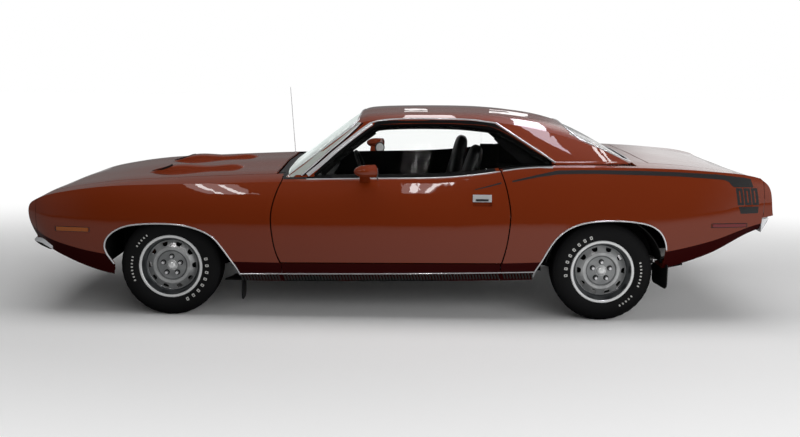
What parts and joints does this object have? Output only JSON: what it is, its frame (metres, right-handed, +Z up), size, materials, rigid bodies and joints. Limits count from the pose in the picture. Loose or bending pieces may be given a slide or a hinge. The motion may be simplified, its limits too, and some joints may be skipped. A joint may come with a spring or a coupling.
{
  "type": "two-door muscle car",
  "caption": "Full-size two-door hardtop car with twin hood scoops, opening doors, hood and trunk lid, steered front wheels and free-turning wheels.",
  "frame": {"origin": "on the ground, at the middle of the whole car in plan", "axes": "+X towards the tail, +Y towards the right side, +Z up; the nose faces -X"},
  "size_m": [4.7424, 2.069, 1.3991],
  "materials": {
    "body_paint": "metallic burnt orange paint, clear coated",
    "black_paint": "satin black underbody paint",
    "chrome": "bright chrome",
    "wheel_silver": "silver wheel paint with bright ring",
    "tyre": "black tyre rubber",
    "rubber": "black rubber sheet",
    "glass": "clear automotive glass",
    "lamp_glass": "clear lamp glass",
    "amber_lens": "amber lens",
    "red_lens": "red lens",
    "grille_black": "satin black grille",
    "black_vinyl": "black vinyl upholstery",
    "interior_black": "black interior plastic",
    "bare_steel": "bare steel",
    "iron": "painted cast iron block",
    "stripe_black": "matt black stripe",
    "tyre_white": "white raised marks on the tyre"
  },
  "bodies": {
    "root": {"nose_panel": "body_paint", "grille": "grille_black", "headlamps": "lamp_glass", "fenders": "body_paint", "quarters": "body_paint", "rockers": "body_paint", "cowl": "black_paint", "rear_deck": "body_paint", "tail_panel": "body_paint", "tail_lamps": "red_lens", "amber_lamps": "amber_lens", "roof": "body_paint", "fixed_glass": "glass", "bumper_front": "chrome", "bumper_rear": "chrome", "front_suspension": "black_paint", "rear_axle": "black_paint", "floor_pan": "black_paint", "wheelhouses": "black_paint", "engine": "iron", "exhaust": "bare_steel", "fuel_tank": "bare_steel", "mud_flaps": "rubber", "front_seats": "black_vinyl", "rear_seat": "black_vinyl", "dashboard": "interior_black", "steering_wheel": "interior_black", "side_trim": "interior_black", "antenna": "chrome"},
    "hood": {"hood": "body_paint"},
    "trunk_lid": {"trunk_lid": "body_paint"},
    "door_left": {"door_left": "body_paint", "door_glass_left": "glass", "mirror_left": "body_paint", "door_handle_left": "chrome"},
    "knuckle_left": {"knuckle_left": "iron"},
    "wheel_front_left": {"rim_front_left": "wheel_silver", "tyre_front_left": "tyre"},
    "wheel_rear_left": {"rim_rear_left": "wheel_silver", "tyre_rear_left": "tyre"},
    "door_right": {"door_right": "body_paint", "door_glass_right": "glass", "mirror_right": "body_paint", "door_handle_right": "chrome"},
    "knuckle_right": {"knuckle_right": "iron"},
    "wheel_front_right": {"rim_front_right": "wheel_silver", "tyre_front_right": "tyre"},
    "wheel_rear_right": {"rim_rear_right": "wheel_silver", "tyre_rear_right": "tyre"}
  },
  "joints": [
    {"name": "hood_hinge", "type": "hinge", "parent": "root", "child": "hood", "pos_m": [-0.752, 0, 0.86], "axis": [0, 1, 0], "range_deg": [0, 50]},
    {"name": "trunk_hinge", "type": "hinge", "parent": "root", "child": "trunk_lid", "pos_m": [1.54, 0, 0.965], "axis": [0, -1, 0], "range_deg": [0, 60]},
    {"name": "door_left_hinge", "type": "hinge", "parent": "root", "child": "door_left", "pos_m": [-0.72, -0.93, 0.565], "axis": [0, 0, -1], "range_deg": [0, 65]},
    {"name": "door_right_hinge", "type": "hinge", "parent": "root", "child": "door_right", "pos_m": [-0.72, 0.93, 0.565], "axis": [0, 0, 1], "range_deg": [0, 65]},
    {"name": "steer_left", "type": "hinge", "parent": "root", "child": "knuckle_left", "pos_m": [-1.451, -0.69, 0.318], "axis": [0, 0, 1], "range_deg": [-32, 32]},
    {"name": "steer_right", "type": "hinge", "parent": "root", "child": "knuckle_right", "pos_m": [-1.451, 0.69, 0.318], "axis": [0, 0, 1], "range_deg": [-32, 32]},
    {"name": "spin_front_left", "type": "hinge", "parent": "knuckle_left", "child": "wheel_front_left", "pos_m": [-1.451, -0.758, 0.318], "axis": [0, 1, 0], "continuous": true},
    {"name": "spin_rear_left", "type": "hinge", "parent": "root", "child": "wheel_rear_left", "pos_m": [1.292, -0.758, 0.318], "axis": [0, 1, 0], "continuous": true},
    {"name": "spin_front_right", "type": "hinge", "parent": "knuckle_right", "child": "wheel_front_right", "pos_m": [-1.451, 0.758, 0.318], "axis": [0, 1, 0], "continuous": true},
    {"name": "spin_rear_right", "type": "hinge", "parent": "root", "child": "wheel_rear_right", "pos_m": [1.292, 0.758, 0.318], "axis": [0, 1, 0], "continuous": true}
  ],
  "couplings": [
    {"joint": "steer_right", "follows": "steer_left", "ratio": 1}
  ]
}
